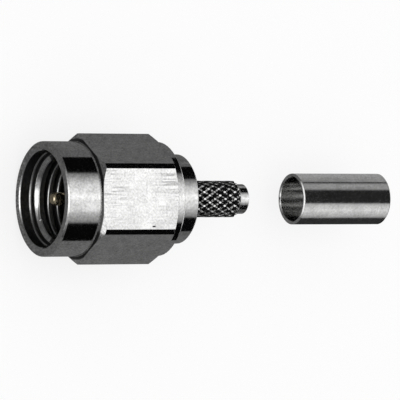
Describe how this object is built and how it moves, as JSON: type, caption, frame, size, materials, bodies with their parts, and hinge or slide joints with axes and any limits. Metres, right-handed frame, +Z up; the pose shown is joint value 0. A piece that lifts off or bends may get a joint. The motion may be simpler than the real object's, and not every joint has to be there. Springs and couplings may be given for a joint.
{
  "type": "coaxial crimp plug with coupling nut and ferrule",
  "caption": "Straight coaxial cable plug: turning hexagonal coupling nut, sprung-in ring, pin contact, knurled crimp post and a loose crimp ferrule.",
  "frame": {"origin": "on the connector's axis, at the mating plane where the outer contact tube ends", "axes": "-X out of the mating mouth, +X along the cable, +Z up with a flat of the hexagon facing down"},
  "size_m": [0.027, 0.009, 0.008],
  "materials": {
    "nut_metal": "bright turned metal",
    "body_metal": "bright nickel plate",
    "ferrule_metal": "bright nickel plate",
    "ring_metal": "bare spring bronze",
    "seal_rubber": "matt silicone",
    "white_insulation": "waxy fluoroplastic",
    "gold_plate": "gold plate"
  },
  "bodies": {
    "body": {"outer_body": "body_metal", "retaining_ring": "ring_metal", "gasket": "seal_rubber", "insulator": "white_insulation", "centre_contact": "gold_plate"},
    "nut": {"coupling_nut": "nut_metal"},
    "ferrule": {"crimp_ferrule": "ferrule_metal"}
  },
  "joints": [
    {"name": "nut_turn", "type": "hinge", "parent": "body", "child": "nut", "pos_m": [0, 0, 0], "axis": [-1, 0, 0], "continuous": true},
    {"name": "ferrule_slide", "type": "slide", "parent": "body", "child": "ferrule", "axis": [1, 0, 0], "range_m": [-0.009, 0]}
  ]
}
